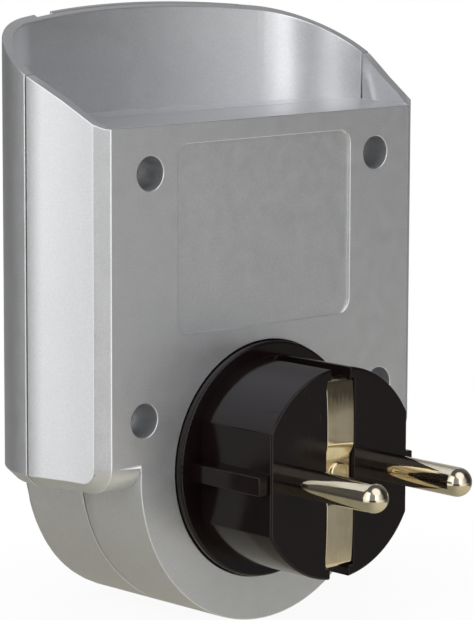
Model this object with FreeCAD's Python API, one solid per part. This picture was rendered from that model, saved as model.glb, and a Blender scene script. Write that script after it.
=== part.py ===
import FreeCAD, Part
import math
import os

# Surge protector adapter, in millimetres.
# The origin is where the plug's axis meets the plane of the rear face. +Y runs out of the rear face along
# the pins, towards the wall socket. +Z is up, towards the hood. The front socket faces -Y.

V = FreeCAD.Vector

# Pins and plug
pin_spacing = 19.0
pin_radius = 2.4
pin_length = 19.5
pin_tail_radius = 1.5
pin_root_radius = 2.0
plug_depth = 18.0
plug_radius = 17.55
plug_flat_half = 15.4
flange_radius = 19.8
flange_proud = 1.3
flange_gap = 0.15
rib_height = 2.0
rib_width = 3.1
rib_stop = 0.7
plug_hollow_radius = 14.4
plug_hollow_depth = 3.1
plug_collar_radius = 22.0
plug_collar_thick = 2.0
plug_edge = 0.25
flange_round = 0.4

# Earth strip round the plug's face
channel_width = 4.3
channel_depth = 2.0
channel_start = 0.6
strip_width = 6.0
strip_thick = 1.0
strip_step_half = 4.6
strip_step_depth = 0.7
strip_step_run = 2.0
strip_step_round = 3.0
strip_fall = 0.4
strip_crown_z = 7.5
strip_bend = 0.8
strip_gap = 0.1
strip_heel_y = 6.0
rivet_radius = 1.3
rivet_head_radius = 1.9
rivet_head_height = 0.5
rivet_head_round = 0.8

# Box and hood, seen from above
rear_half = 33.5
edge_chamfer = 1.85
bend_flare = 1.45
bend_y = 7.9
part_flare = 1.9
part_y = 15.2
corner_draw = 4.0
corner_y = 25.8
crease_draw = 9.0
crease_y = 31.1
front_y = 34.0
wall = 2.0
hood_wall = 1.75

# Box and hood, seen from the side
under_z = -2.0
roll_radius = 4.5
rear_top_z = 57.0
pocket_floor_z = 55.9
floor_thick = 2.0
rim_start_y = 0.6
rim_middle_y = 16.0
rim_middle_z = 65.4
rim_front_y = 35.0
rim_front_z = 74.7
head_radius = 27.35
head_round = 2.0

# Joint between the two shells
joint_gap = 0.3
lip_thick = 1.0
lip_length = 2.0
lip_clearance = 0.1

# Label field in the rear face
label_half = 19.4
label_low_z = 22.6
label_high_z = 53.65
label_depth = 0.4
label_corner = 2.4

# Cover screws and their bosses
screw_upper_x = 25.3
screw_upper_z = 49.4
screw_lower_x = 26.6
screw_lower_z = 9.5
counterbore_radius = 2.8
counterbore_depth = 8.5
boss_radius = 4.2
boss_joint_y = 11.5
screw_head_radius = 2.55
screw_head_height = 2.0
screw_radius = 1.45
screw_length = 10.5
screw_tip_radius = 0.15
screw_head_round = 0.4
screw_slot_reach = 0.62
screw_slot_half = 0.16
screw_slot_depth = 0.55
screw_clearance = 0.3
thread_clearance = 0.05
pilot_extra = 1.0

# Socket well
well_radius = 19.5
well_depth = 17.5
well_rim_y = 34.8
well_wall = 1.4
well_floor = 1.8
well_edge = 0.6
pin_hole_radius = 2.65
insert_gap = 0.15
insert_collar_radius = 23.0
insert_collar_y = 29.5
insert_collar_thick = 1.6
skirt_wall = 1.6
stack_gap = 0.2

# Child protection shutter
shutter_gap = 0.3
shutter_thick = 1.6
shutter_reach = 12.6
shutter_wing_angle = 20.0
shutter_swing = 42.0
shutter_hub_radius = 2.6
pivot_radius = 1.6
pivot_end_gap = 0.4
hub_end_gap = 0.6
running_clearance = 0.05
stop_radius = 0.8
stop_reach = 11.0
stop_angle = 27.0
spring_wire_radius = 0.2
spring_hub_gap = 0.25
spring_end_gap = 0.02
spring_turns = 3
spring_pitch = 0.75
cover_thick = 1.2
cover_hole_radius = 4.4

# Live contacts and their carrier
carrier_plate_thick = 2.3
carrier_gap = 0.2
sleeve_wall = 0.7
sleeve_fit = 0.1
sleeve_gap = 0.3
sleeve_split = 0.6
sleeve_root = 1.5
bar_thick = 0.6
bar_width = 3.0
tail_plate_thick = 0.6
tail_plate_radius = 3.2
tab_width = 3.0
tab_thick = 0.8
tab_setback = 0.6
tab_top_z = 8.6

# Earth bracket and the two clips in the well
bracket_width = 5.0
bracket_thick = 0.8
bracket_reach = 18.2
clip_width = 4.4
clip_thick = 0.6
clip_root_z = 18.2
clip_bump_z = 14.7
clip_bump_y = 24.2
clip_tip_z = 17.3
clip_tip_y = 30.0
clip_slot_width = 5.4
clip_swing = 5.0
clip_root_radius = 0.7
clip_root_gap = 0.2

# Circuit board and what is on it
board_half = 20.5
board_low_z = 25.4
board_high_z = 53.4
board_y = 22.0
board_thick = 1.6
post_radius = 2.6
post_x = 17.0
post_low_z = 28.0
post_high_z = 50.9
board_screw_radius = 1.0
board_screw_head_radius = 2.0
board_screw_head_height = 1.4
board_screw_length = 6.0
varistor_radius = 7.0
varistor_thick = 4.6
varistor_round = 1.8
varistor_stand = 1.2
varistor_pitch = 12.8
varistor_z = 42.6
tube_radius = 2.75
tube_length = 7.0
fuse_radius = 2.1
fuse_length = 10.0
resistor_radius = 1.1
resistor_length = 6.0
diode_radius = 1.3
diode_length = 5.0
lead_radius = 0.35
lead_pitch = 5.0
lead_reach = 1.2
lead_bend = 0.6
part_stand = 0.2

# Function light
light_z = 43.0
led_radius = 1.5
led_length = 4.0
lens_radius = 2.0
lens_collar_radius = 3.0
lens_collar_thick = 1.0
lens_gap = 0.1
lens_proud = 0.3

# Front plate of the hood
panel_thick = 0.65
panel_gap = 0.05
panel_half = 23.0
panel_side_gap = 0.1
panel_arc_radius = 24.6
panel_low_z = 16.0
panel_notch_width = 3.8
panel_notch_depth = 1.4

# Wires
wire_radius = 0.9
wire_bend = 4.0
wire_land_z = 31.2

# Positions that follow from the sizes above
pin_x = pin_spacing / 2
bend_half = rear_half + edge_chamfer + bend_flare
part_half = bend_half + part_flare
corner_half = part_half - corner_draw
crease_half = corner_half - crease_draw
well_floor_y = -(well_rim_y - well_depth)
floor_back_y = well_floor_y + well_floor
shutter_front_y = floor_back_y + shutter_gap
shutter_back_y = shutter_front_y + shutter_thick
cover_front_y = shutter_back_y + shutter_gap
cover_back_y = cover_front_y + cover_thick
carrier_back_y = cover_back_y + carrier_plate_thick
collar_back_y = -wall - plug_collar_thick
stack_end_y = collar_back_y - stack_gap
insert_radius = well_radius + well_wall
skirt_inner_radius = insert_radius - skirt_wall
bracket_front_y = carrier_back_y
bracket_back_y = bracket_front_y + bracket_thick
tail_y = plug_hollow_depth - tail_plate_thick
board_back_y = -board_y + board_thick
big = 300.0


def box(x0, x1, y0, y1, z0, z1):
    return Part.makeBox(x1 - x0, y1 - y0, z1 - z0, V(x0, y0, z0))


def rod(radius, y0, y1, x=0.0, z=0.0):
    """A cylinder along Y."""
    return Part.makeCylinder(radius, y1 - y0, V(x, y0, z), V(0, 1, 0))


def ring(outer, inner, y0, y1, x=0.0, z=0.0):
    return rod(outer, y0, y1, x, z).cut(rod(inner, y0 - 1, y1 + 1, x, z))


def fuse(shapes):
    joined = shapes[0].fuse(shapes[1:]) if len(shapes) > 1 else shapes[0]
    return joined.removeSplitter()


def edges_like(shape, test):
    return [e for e in shape.Edges if test(e.BoundBox)]


def near(a, b):
    return abs(a - b) < 1e-5


def profile_x(points, x0, x1):
    """A closed outline of (y, z) points, extruded along X."""
    corners = [V(x0, y, z) for y, z in points]
    return Part.Face(Part.makePolygon(corners + corners[:1])).extrude(V(x1 - x0, 0, 0))


# Outline of the box and hood from above

def outline_points():
    """Half of the outline, from the back to the front: rear edge, bend, joint, corner, crease."""
    return (V(rear_half + edge_chamfer, 0, 0), V(bend_half, -bend_y, 0), V(part_half, -part_y, 0),
            V(corner_half, -corner_y, 0), V(crease_half, -crease_y, 0))


def plan_face(inset=0.0):
    """The whole outline, drawn in by inset on every side."""
    rear, bend, joint, corner, crease = outline_points()

    def left(p):
        return V(-p.x, p.y, 0)

    curves = [
        Part.LineSegment(left(rear), rear),
        Part.LineSegment(rear, bend),
        Part.LineSegment(bend, joint),
        Part.Arc(joint, corner, crease),
        Part.Arc(crease, V(0, -front_y, 0), left(crease)),
        Part.Arc(left(crease), left(corner), left(joint)),
        Part.LineSegment(left(joint), left(bend)),
        Part.LineSegment(left(bend), left(rear)),
    ]
    face = Part.Face(Part.Wire([c.toShape() for c in curves]))
    return face.makeOffset2D(-inset, join=2) if inset else face


def plan_prism(inset, z0, z1):
    prism = plan_face(inset).extrude(V(0, 0, z1 - z0))
    prism.translate(V(0, 0, z0))
    return prism


def behind_joint(shape, gap=0.0):
    """The part of a shape that lies between the rear face and the joint."""
    return shape.common(box(-big, big, -part_y + gap, big, -big, big))


def before_joint(shape, gap=0.0):
    """The part of a shape that lies between the joint and the front."""
    return shape.common(box(-big, big, -big, -part_y - gap, -big, big))


def above_rim():
    """Everything over the hood's rim, which climbs from the rear face to the front."""
    start = V(-big, -rim_start_y, rear_top_z)
    middle = V(-big, -rim_middle_y, rim_middle_z)
    end = V(-big, -rim_front_y, rim_front_z)
    curve = Part.Arc(start, middle, end).toShape()
    corners = [end, V(-big, -big, rim_front_z), V(-big, -big, big), V(-big, big, big)]
    corners += [V(-big, big, rear_top_z), start]
    sides = [Part.LineSegment(a, b).toShape() for a, b in zip(corners, corners[1:])]
    return Part.Face(Part.Wire([curve] + sides)).extrude(V(2 * big, 0, 0))


def rear_box():
    """Rear half of the box: a rolled lower rear edge, and one chamfer round back, roll and underside."""
    body = behind_joint(plan_prism(0.0, under_z, rim_front_z + 2.0))
    roll = edges_like(body, lambda b: near(b.YMin, 0) and near(b.YMax, 0) and near(b.ZMax, under_z))
    body = body.makeFillet(roll_radius, roll)

    def on_corner(b):
        upright = near(b.YMin, 0) and near(b.YMax, 0) and b.XLength < 1e-5
        rolled = near(b.YMax, 0) and near(b.ZMin, under_z) and b.ZLength > 1.0 and b.XLength < rear_half
        lower = near(b.ZMax, under_z) and 1e-3 < b.YLength and b.XLength < rear_half
        return upright or rolled or lower

    return body.makeChamfer(edge_chamfer, edges_like(body, on_corner))


def front_box():
    """Front half of the box and the hood, with a chamfer round the underside."""
    lower = plan_face(edge_chamfer).OuterWire
    lower.translate(V(0, 0, under_z))
    upper = plan_face().OuterWire
    upper.translate(V(0, 0, under_z + edge_chamfer))
    foot = Part.makeLoft([lower, upper], True, True)
    return before_joint(foot.fuse(plan_prism(0.0, under_z + edge_chamfer, rim_front_z + 2.0)))


def head(inset):
    """The round lower body, coaxial with the plug and bowed in front like the box."""
    return rod(head_radius - inset, -big, -inset).common(plan_prism(inset, -big, big))


def rounded_head():
    """The lower half of the round body in front of the joint, with its front edge rounded."""
    body = before_joint(head(0.0)).common(box(-big, big, -big, big, -big, 0.0)).removeSplitter()
    edges = edges_like(body, lambda b: b.YMax < -part_y - 1.0 and b.ZLength > 1.0)
    return body.makeFillet(head_round, edges)


def cavity(inset, top_z):
    """The room inside the shells, drawn in by inset from the outer skin."""
    return plan_prism(inset, under_z + inset, top_z).fuse(head(inset))


def cover_screw_places():
    upper = [(side * screw_upper_x, screw_upper_z) for side in (1, -1)]
    lower = [(side * screw_lower_x, screw_lower_z) for side in (1, -1)]
    return upper + lower


def board_posts():
    return [(side * post_x, z) for side in (1, -1) for z in (post_low_z, post_high_z)]


def board_screw_places():
    return [(post_x, post_high_z), (-post_x, post_low_z)]


# Rear cover

def label_field():
    field = box(-label_half, label_half, -label_depth, 1.0, label_low_z, label_high_z)
    corners = edges_like(field, lambda b: b.YLength > 1.0 and b.XLength + b.ZLength < 1e-5)
    return field.makeFillet(label_corner, corners)


def rear_cover():
    shell = rear_box().fuse(behind_joint(head(0.0)))
    room = behind_joint(cavity(wall, rear_top_z - floor_thick))
    shell = shell.cut(room)
    shell = shell.cut(plan_prism(hood_wall, rear_top_z, big)).cut(above_rim())
    shell = shell.cut(box(-rear_half, rear_half, -2 * wall, 1.0, rear_top_z, big))
    bosses = [rod(boss_radius, -boss_joint_y, -wall / 2, x, z) for x, z in cover_screw_places()]
    shell = fuse([behind_joint(shell, joint_gap)] + bosses)
    for x, z in cover_screw_places():
        shell = shell.cut(rod(counterbore_radius, -counterbore_depth, 1.0, x, z))
        shell = shell.cut(rod(screw_radius + screw_clearance, -boss_joint_y - 1.0, 0.0, x, z))
    shell = shell.cut(rod(flange_radius + flange_gap, -2 * wall, 1.0))
    return shell.cut(label_field()).removeSplitter()


# Front cover

def joint_lip():
    """A tongue on the front cover that lies inside the rear cover's wall."""
    top_z = pocket_floor_z - floor_thick
    outer = cavity(wall + lip_clearance, top_z - lip_clearance)
    inner = cavity(wall + lip_clearance + lip_thick, top_z - lip_clearance - lip_thick)
    tongue = outer.cut(inner).common(box(-big, big, -part_y - lip_length, -part_y + lip_length, -big, big))
    root = cavity(wall / 2, top_z + wall / 2).cut(inner)
    root = root.common(box(-big, big, -part_y - lip_length, -part_y - joint_gap, -big, big))
    return tongue.fuse(root)


def pocket():
    """The hood's hollow in front of the joint: its floor falls a little towards the front wall."""
    floor = [(big, rear_top_z), (-part_y, rear_top_z), (-front_y, pocket_floor_z), (-big, pocket_floor_z)]
    above_floor = profile_x(floor + [(-big, big), (big, big)], -big, big)
    return plan_prism(hood_wall, pocket_floor_z, big).common(above_floor)


def front_cover():
    shell = front_box().fuse(rounded_head())
    top_z = pocket_floor_z - floor_thick
    shell = shell.cut(cavity(wall, top_z)).cut(pocket()).cut(above_rim())
    inside = plan_prism(wall / 2, -big, big)
    columns = [rod(boss_radius, -front_y, -boss_joint_y, x, z) for x, z in cover_screw_places()]
    columns += [rod(post_radius, -front_y, -board_y, x, z) for x, z in board_posts()]
    columns.append(rod(insert_collar_radius, -front_y, -insert_collar_y - insert_gap))
    columns = [c.common(inside) for c in columns]
    shell = fuse([shell, joint_lip()] + columns)
    for x, z in cover_screw_places():
        reach = -counterbore_depth - screw_length - pilot_extra
        shell = shell.cut(rod(screw_radius + thread_clearance, reach, 0.0, x, z))
    for x, z in board_screw_places():
        reach = board_back_y - board_screw_length - pilot_extra
        shell = shell.cut(rod(board_screw_radius + thread_clearance, reach, 0.0, x, z))
    shell = shell.cut(panel_space(panel_thick + panel_gap, panel_side_gap))
    shell = shell.cut(rod(insert_radius + insert_gap, -big, 0.0))
    shell = shell.cut(rod(insert_collar_radius + insert_gap, -insert_collar_y, 0.0))
    shell = shell.cut(rod(lens_radius + lens_gap, -big, 0.0, 0.0, light_z))
    return shell.removeSplitter()


# Front plate

def panel_space(back, side):
    """The bowed layer on the front wall that the plate fills, back mm deep, side mm wider than the plate."""
    layer = plan_face().cut(plan_face(back)).extrude(V(0, 0, big))
    half = panel_half + side
    arc_gap = rod(panel_arc_radius - side, -big, 0.0)
    return layer.common(box(-half, half, -big, -part_y, panel_low_z - side, big)).cut(arc_gap)


def front_panel():
    """Inlaid plate, flush with the front wall, from the rim down to the socket; one top corner is cut."""
    plate = panel_space(panel_thick, 0.0).cut(above_rim())
    lowered = above_rim()
    lowered.translate(V(0, 0, -panel_notch_depth))
    notch = box(panel_half - panel_notch_width, big, -big, 0.0, 0.0, big)
    plate = plate.cut(notch.common(lowered))
    return plate.cut(rod(lens_radius + lens_gap, -big, 0.0, 0.0, light_z)).removeSplitter()


# Screws

def screw(radius, length, cap_radius, cap_height, seat_y, x, z):
    """A pan head screw driven in from behind, with a cross slot."""
    cap = rod(cap_radius, seat_y, seat_y + cap_height, x, z)
    rim = edges_like(cap, lambda b: near(b.YMin, seat_y + cap_height) and b.XLength > cap_radius)
    cap = cap.makeFillet(cap_height * screw_head_round, rim)
    reach = cap_radius * screw_slot_reach
    half = cap_radius * screw_slot_half
    slot_y = seat_y + cap_height * (1 - screw_slot_depth)
    cross = box(x - reach, x + reach, slot_y, 1.0, z - half, z + half)
    cross = cross.fuse(box(x - half, x + half, slot_y, 1.0, z - reach, z + reach))
    shank = rod(radius, seat_y - length + radius, seat_y, x, z)
    point = Part.makeCone(screw_tip_radius, radius, radius, V(x, seat_y - length, z), V(0, 1, 0))
    return fuse([cap.cut(cross), shank, point])


def cover_screws():
    size = (screw_radius, screw_length, screw_head_radius, screw_head_height, -counterbore_depth)
    return Part.makeCompound([screw(*size, x, z) for x, z in cover_screw_places()])


def board_screws():
    head_size = (board_screw_head_radius, board_screw_head_height)
    size = (board_screw_radius, board_screw_length, *head_size, board_back_y)
    return Part.makeCompound([screw(*size, x, z) for x, z in board_screw_places()])


# Plug

def channel(width, depth, y0):
    """The earth channel's space over and under the plug, from y0 to past the face."""
    low = plug_radius - depth
    over = box(-width / 2, width / 2, y0, plug_depth + 1.0, low, plug_radius + 1.0)
    return over.fuse(over.mirror(V(0, 0, 0), V(0, 0, 1)))


def strip_legs_top():
    """Outer face of the strip's two legs, which lie on the floor of the channel."""
    return plug_radius - channel_depth


def strip_bed():
    """The room that the strip takes in the plug's face and along both channels."""
    half = strip_width / 2 + strip_gap
    leg = strip_legs_top() - strip_thick - strip_gap
    back_y = plug_depth - strip_thick - strip_gap
    step = strip_step_half + strip_gap
    face = box(-half, half, back_y - strip_fall, plug_depth + 1.0, -leg - strip_thick, leg + strip_thick)
    middle = box(-half, half, back_y - strip_step_depth, plug_depth + 1.0, -step, step)
    side = box(-half, half, strip_heel_y - strip_gap, plug_depth + 1.0, leg, strip_legs_top())
    return fuse([face, middle, side, side.mirror(V(0, 0, 0), V(0, 0, 1))])


def plug_body():
    body = rod(plug_radius, 0.0, plug_depth)
    body = body.common(box(-plug_flat_half, plug_flat_half, 0.0, plug_depth, -big, big))
    face_edge = edges_like(body, lambda b: near(b.YMin, plug_depth))
    body = body.makeChamfer(plug_edge, face_edge)
    rib_half = plug_flat_half + rib_height
    ribs = box(-rib_half, rib_half, 0.0, plug_depth - rib_stop, -rib_width / 2, rib_width / 2)
    disc = rod(flange_radius, -wall - 1.0, flange_proud)
    rim = edges_like(disc, lambda b: near(b.YMin, flange_proud) and b.XLength > 1.0)
    disc = disc.makeFillet(flange_round, rim)
    collar = rod(plug_collar_radius, collar_back_y, -wall)
    body = fuse([body, ribs, disc, collar])
    body = body.cut(channel(channel_width, channel_depth, flange_proud + channel_start))
    body = body.cut(strip_bed())
    body = body.cut(rod(plug_hollow_radius, collar_back_y - 1.0, plug_hollow_depth))
    for x in (pin_x, -pin_x):
        body = body.cut(rod(pin_root_radius, 0.0, plug_depth, x))
    return body.cut(rod(rivet_radius, 0.0, plug_depth)).removeSplitter()


def strip_outline(face_y, top):
    """One face of the strip from the top down to the middle: a slight fall, the face and the step."""
    fall = top - strip_crown_z
    start = V(0, face_y - strip_fall, top)
    crown = V(0, face_y, strip_crown_z)
    bow = V(0, face_y - strip_fall / 4, strip_crown_z + fall / 2)
    low_y = face_y - strip_step_depth
    corners = [crown, V(0, face_y, strip_step_half), V(0, low_y, strip_step_half - strip_step_run),
               V(0, low_y, 0)]
    lines = [Part.LineSegment(a, b).toShape() for a, b in zip(corners, corners[1:])]
    return [Part.Arc(start, bow, crown).toShape()] + lines


def plug_earth_strip():
    """A bent strip: two legs along the channels, a face with a lowered middle, and the rivet's hole.

    Its upper half is drawn from the leg's heel round the face to the middle, and mirrored.
    """
    top = strip_legs_top()
    inner = top - strip_thick
    back_y = plug_depth - strip_thick
    middle_y = plug_depth - strip_step_depth
    ends = [V(0, plug_depth - strip_fall, top), V(0, strip_heel_y, top), V(0, strip_heel_y, inner),
            V(0, back_y - strip_fall, inner)]
    edges = [Part.LineSegment(a, b).toShape() for a, b in zip(ends, ends[1:])]
    edges.append(Part.LineSegment(V(0, middle_y, 0), V(0, middle_y - strip_thick, 0)).toShape())
    edges += strip_outline(plug_depth, top) + strip_outline(back_y, inner)
    strip = Part.Face(Part.Wire(Part.__sortEdges__(edges))).extrude(V(strip_width, 0, 0))
    strip.translate(V(-strip_width / 2, 0, 0))
    slope = strip_step_half - strip_step_run
    across = [e for e in strip.Edges if e.BoundBox.XLength > 1.0 and e.BoundBox.ZLength < 1e-5]
    folds = [e for e in across if near(e.BoundBox.ZMin, strip_step_half) or near(e.BoundBox.ZMin, slope)]
    strip = strip.makeFillet(strip_step_round, folds)
    bend = edges_like(strip, lambda b: near(b.YMin, plug_depth - strip_fall) and near(b.ZMin, top))
    strip = strip.makeFillet(strip_thick * strip_bend, [e for e in bend if e.BoundBox.XLength > 1.0])
    strip = fuse([strip, strip.mirror(V(0, 0, 0), V(0, 0, 1))])
    return strip.cut(rod(rivet_radius, 0.0, plug_depth + 1.0))


def earth_rivet():
    """Round head on the strip, and a shank that runs back through the plug to the earth bracket."""
    seat_y = plug_depth - strip_step_depth
    top_y = seat_y + rivet_head_height
    cap = rod(rivet_head_radius, seat_y, top_y)
    rim = edges_like(cap, lambda b: near(b.YMin, top_y) and b.XLength > 1.0)
    cap = cap.makeFillet(rivet_head_height * rivet_head_round, rim)
    return fuse([cap, rod(rivet_radius, bracket_front_y, seat_y)])


def pin(x):
    """Round pin with a domed end, a thinner root held in the plug, and a tail that carries the contact."""
    tip_y = plug_depth + pin_length
    shaft = rod(pin_radius, plug_depth, tip_y - pin_radius, x)
    dome = Part.makeSphere(pin_radius, V(x, tip_y - pin_radius, 0))
    root = rod(pin_root_radius, plug_hollow_depth, plug_depth, x)
    tail = rod(pin_tail_radius, tail_y, plug_hollow_depth, x)
    return fuse([shaft, dome, root, tail])


# Socket insert

def clip_window(y0, y1, low_z, high_z):
    """One slot over and one under the axis, as wide as a clip needs."""
    slot = box(-clip_slot_width / 2, clip_slot_width / 2, y0, y1, low_z, high_z)
    return slot.fuse(slot.mirror(V(0, 0, 0), V(0, 0, 1)))


def wire_slot(x, y0):
    """An open slot at the top of the skirt, through which a wire climbs to the board."""
    half = wire_radius * 2
    return box(x - half, x + half, y0, 0.0, skirt_inner_radius / 2, insert_radius + 1.0)


def socket_insert():
    cup = rod(insert_radius, -well_rim_y, floor_back_y)
    cup = cup.makeFillet(well_edge, edges_like(cup, lambda b: near(b.YMax, -well_rim_y) and b.XLength > 1.0))
    bore = rod(well_radius, -well_rim_y - 1.0, well_floor_y)
    cup = cup.cut(bore)
    collar_back = -insert_collar_y + insert_collar_thick
    collar = ring(insert_collar_radius, well_radius + well_wall / 2, -insert_collar_y, collar_back)
    skirt = ring(insert_radius, skirt_inner_radius, floor_back_y, stack_end_y)
    pivot = rod(pivot_radius, floor_back_y - well_floor / 2, carrier_back_y - pivot_end_gap)
    stops = []
    for turn in (0.0, 180.0):
        for angle in (stop_angle, -shutter_swing - stop_angle):
            a = math.radians(turn + angle)
            place = (stop_reach * math.cos(a), stop_reach * math.sin(a))
            stops.append(rod(stop_radius, floor_back_y - well_floor / 2, shutter_back_y, *place))
    insert = fuse([cup, collar, skirt, pivot] + stops)
    for x in (pin_x, -pin_x):
        insert = insert.cut(rod(pin_hole_radius, -well_rim_y, shutter_front_y, x))
        insert = insert.cut(wire_slot(x, carrier_back_y - 0.2))
    insert = insert.cut(wire_slot(0.0, bracket_front_y - 1.4))
    clip_low = bracket_reach - bracket_thick - 1.2
    insert = insert.cut(clip_window(well_floor_y - 0.5, stack_end_y - 1.0, clip_low, skirt_inner_radius))
    return insert.removeSplitter()


# Shutter

def sector(inner, outer, angle, y0, y1):
    """A ring sector about the +X direction, angle to each side."""
    a = math.radians(angle)
    arc = Part.Arc(V(outer * math.cos(a), y0, -outer * math.sin(a)), V(outer, y0, 0),
                   V(outer * math.cos(a), y0, outer * math.sin(a)))
    back = Part.Arc(V(inner * math.cos(a), y0, inner * math.sin(a)), V(inner, y0, 0),
                    V(inner * math.cos(a), y0, -inner * math.sin(a)))
    edges = [arc.toShape(), Part.LineSegment(arc.EndPoint, back.StartPoint).toShape(), back.toShape(),
             Part.LineSegment(back.EndPoint, arc.StartPoint).toShape()]
    return Part.Face(Part.Wire(edges)).extrude(V(0, y1 - y0, 0))


def shutter():
    wing = sector(pivot_radius + 0.2, shutter_reach, shutter_wing_angle, shutter_front_y, shutter_back_y)
    other = wing.mirror(V(0, 0, 0), V(1, 0, 0))
    hub = rod(shutter_hub_radius, shutter_front_y, carrier_back_y - hub_end_gap - shutter_gap)
    body = fuse([wing, other, hub])
    return body.cut(rod(pivot_radius + running_clearance, -well_rim_y, 0.0)).removeSplitter()


def arc_from(start, corner, end):
    """The arc from start to end whose two tangents meet at corner."""
    chord_middle = (start + end) * 0.5
    angle = (corner - start).getAngle(end - start)
    middle = chord_middle + (corner - chord_middle) * (math.tan(angle / 2) / math.tan(angle))
    return Part.Arc(start, middle, end).toShape()


def two_arcs(start, start_way, end, end_way):
    """Two arcs that leave start along one unit vector, meet smoothly, and reach end along another."""
    step = end - start
    ways = start_way + end_way
    a = 2 * (1 - start_way.dot(end_way))
    b = 2 * step.dot(ways)
    reach = (math.sqrt(b * b + 4 * a * step.dot(step)) - b) / (2 * a)
    first_corner = start + start_way * reach
    last_corner = end - end_way * reach
    meeting = (first_corner + last_corner) * 0.5
    return [arc_from(start, first_corner, meeting), arc_from(meeting, last_corner, end)]


def shutter_spring():
    """A coil round the shutter's hub, swept along pairs of arcs, a quarter turn each."""
    mean = shutter_hub_radius + spring_hub_gap + spring_wire_radius
    start_y = shutter_back_y + spring_wire_radius + spring_end_gap
    rise = spring_pitch / (2 * math.pi)

    def place(a):
        return V(mean * math.cos(a), start_y + rise * a, mean * math.sin(a))

    def way(a):
        return V(-mean * math.sin(a), rise, mean * math.cos(a)).normalize()

    turns = [math.pi / 2 * k for k in range(4 * spring_turns + 1)]
    edges = []
    for a, b in zip(turns, turns[1:]):
        edges += two_arcs(place(a), way(a), place(b), way(b))
    section = Part.Wire(Part.makeCircle(spring_wire_radius, place(0.0), way(0.0)))
    return Part.Wire(edges).makePipeShell([section], True, False)


def carrier_notches(y0, y1):
    """Room for the legs of the earth bracket, over and under the axis."""
    return clip_window(y0, y1, bracket_reach - bracket_thick - 0.3, big)


def shutter_cover():
    plate = rod(skirt_inner_radius - insert_gap, cover_front_y, cover_back_y)
    plate = plate.cut(rod(cover_hole_radius, cover_front_y - 1.0, cover_back_y + 1.0))
    for x in (pin_x, -pin_x):
        plate = plate.cut(rod(pin_hole_radius, cover_front_y - 1.0, cover_back_y + 1.0, x))
    plate = plate.cut(carrier_notches(cover_front_y - 1.0, cover_back_y + 1.0))
    return plate.removeSplitter()


# Contacts

def contact_carrier():
    """Insulating block: a plate over the whole well, and a lobe round each live contact."""
    radius = skirt_inner_radius - insert_gap
    block = rod(radius, cover_back_y, stack_end_y)
    groove_half = bracket_width / 2 + carrier_gap
    block = block.cut(box(-groove_half, groove_half, carrier_back_y, big, -big, big))
    block = block.cut(box(-big, big, carrier_back_y, big, tab_top_z + 2.0, big))
    pivot_room = pivot_radius + running_clearance
    block = block.cut(rod(pivot_room, cover_back_y - 1.0, carrier_back_y - pivot_end_gap))
    block = block.cut(rod(cover_hole_radius, cover_back_y - 1.0, carrier_back_y - hub_end_gap))
    for x in (pin_x, -pin_x):
        block = block.cut(rod(pin_hole_radius, cover_back_y - 1.0, 0.0, x))
        block = block.cut(rod(sleeve_outer() + carrier_gap, carrier_back_y, 0.0, x))
        tab_half = tab_width / 2 + carrier_gap
        block = block.cut(box(x - tab_half, x + tab_half, carrier_back_y, 0.0, 0.0, big))
    return block.cut(carrier_notches(cover_back_y - 1.0, 0.0)).removeSplitter()


def sleeve_outer():
    return pin_radius + sleeve_fit + sleeve_wall


def tab_front_y():
    return carrier_back_y + sleeve_gap + tab_setback


def live_contact(x):
    """Tulip sleeve for the mating pin, a bar to the tail of the adapter's own pin, and a tab for the wire."""
    outer = sleeve_outer()
    inner = pin_radius + sleeve_fit
    front_y = carrier_back_y + sleeve_gap
    sleeve = ring(outer, inner, front_y, 0.0, x)
    half = sleeve_split / 2
    split = box(x - outer - 1.0, x + outer + 1.0, front_y - 1.0, -sleeve_root, -half, half)
    plate = rod(tail_plate_radius, tail_y, plug_hollow_depth, x)
    plate = plate.cut(rod(pin_tail_radius, 0.0, plug_hollow_depth + 1.0, x))
    side = 1 if x > 0 else -1
    bar_x0, bar_x1 = sorted([x + side * (outer - bar_thick), x + side * outer])
    bar = box(bar_x0, bar_x1, -sleeve_root, plug_hollow_depth, -bar_width / 2, bar_width / 2)
    tab_y = tab_front_y()
    tab = rod(tab_width / 2, tab_y, tab_y + tab_thick, x, tab_top_z - tab_width / 2)
    tab = tab.fuse(box(x - tab_width / 2, x + tab_width / 2, tab_y, tab_y + tab_thick,
                       outer - sleeve_wall / 2, tab_top_z - tab_width / 2))
    return fuse([sleeve.cut(split), plate, bar, tab])


def earth_bracket():
    """Strap across the back of the well, with a leg at each end that reaches forward to a clip."""
    half = bracket_width / 2
    root_y = floor_back_y + clip_root_radius + clip_root_gap
    strap = box(-half, half, bracket_front_y, bracket_back_y, -bracket_reach, bracket_reach)
    leg = box(-half, half, root_y, bracket_back_y, bracket_reach - bracket_thick, bracket_reach)
    return fuse([strap, leg, leg.mirror(V(0, 0, 0), V(0, 0, 1))]).cut(rod(rivet_radius, -well_rim_y, 0.0))


def earth_clip():
    """Sprung side contact: a rolled root at the bracket's leg, and a tongue bent in towards the plug."""
    half = clip_width / 2
    root = V(0, floor_back_y, clip_root_z - bracket_thick / 2)
    curl = Part.makeCylinder(clip_root_radius, clip_width, V(-half, root.y, root.z), V(1, 0, 0))
    outside = [(root.y, root.z + clip_thick / 2), (-clip_bump_y, clip_bump_z + clip_thick),
               (-clip_tip_y, clip_tip_z + clip_thick)]
    inside = [(-clip_tip_y, clip_tip_z), (-clip_bump_y, clip_bump_z), (root.y, root.z - clip_thick / 2)]
    return fuse([curl, profile_x(outside + inside, -half, half)])


# Circuit board and what is on it

def circuit_board():
    board = box(-board_half, board_half, -board_y, board_back_y, board_low_z, board_high_z)
    for x, z in board_screw_places():
        board = board.cut(rod(board_screw_radius + screw_clearance, -board_y - 1.0, board_back_y + 1.0, x, z))
    return board


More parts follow.
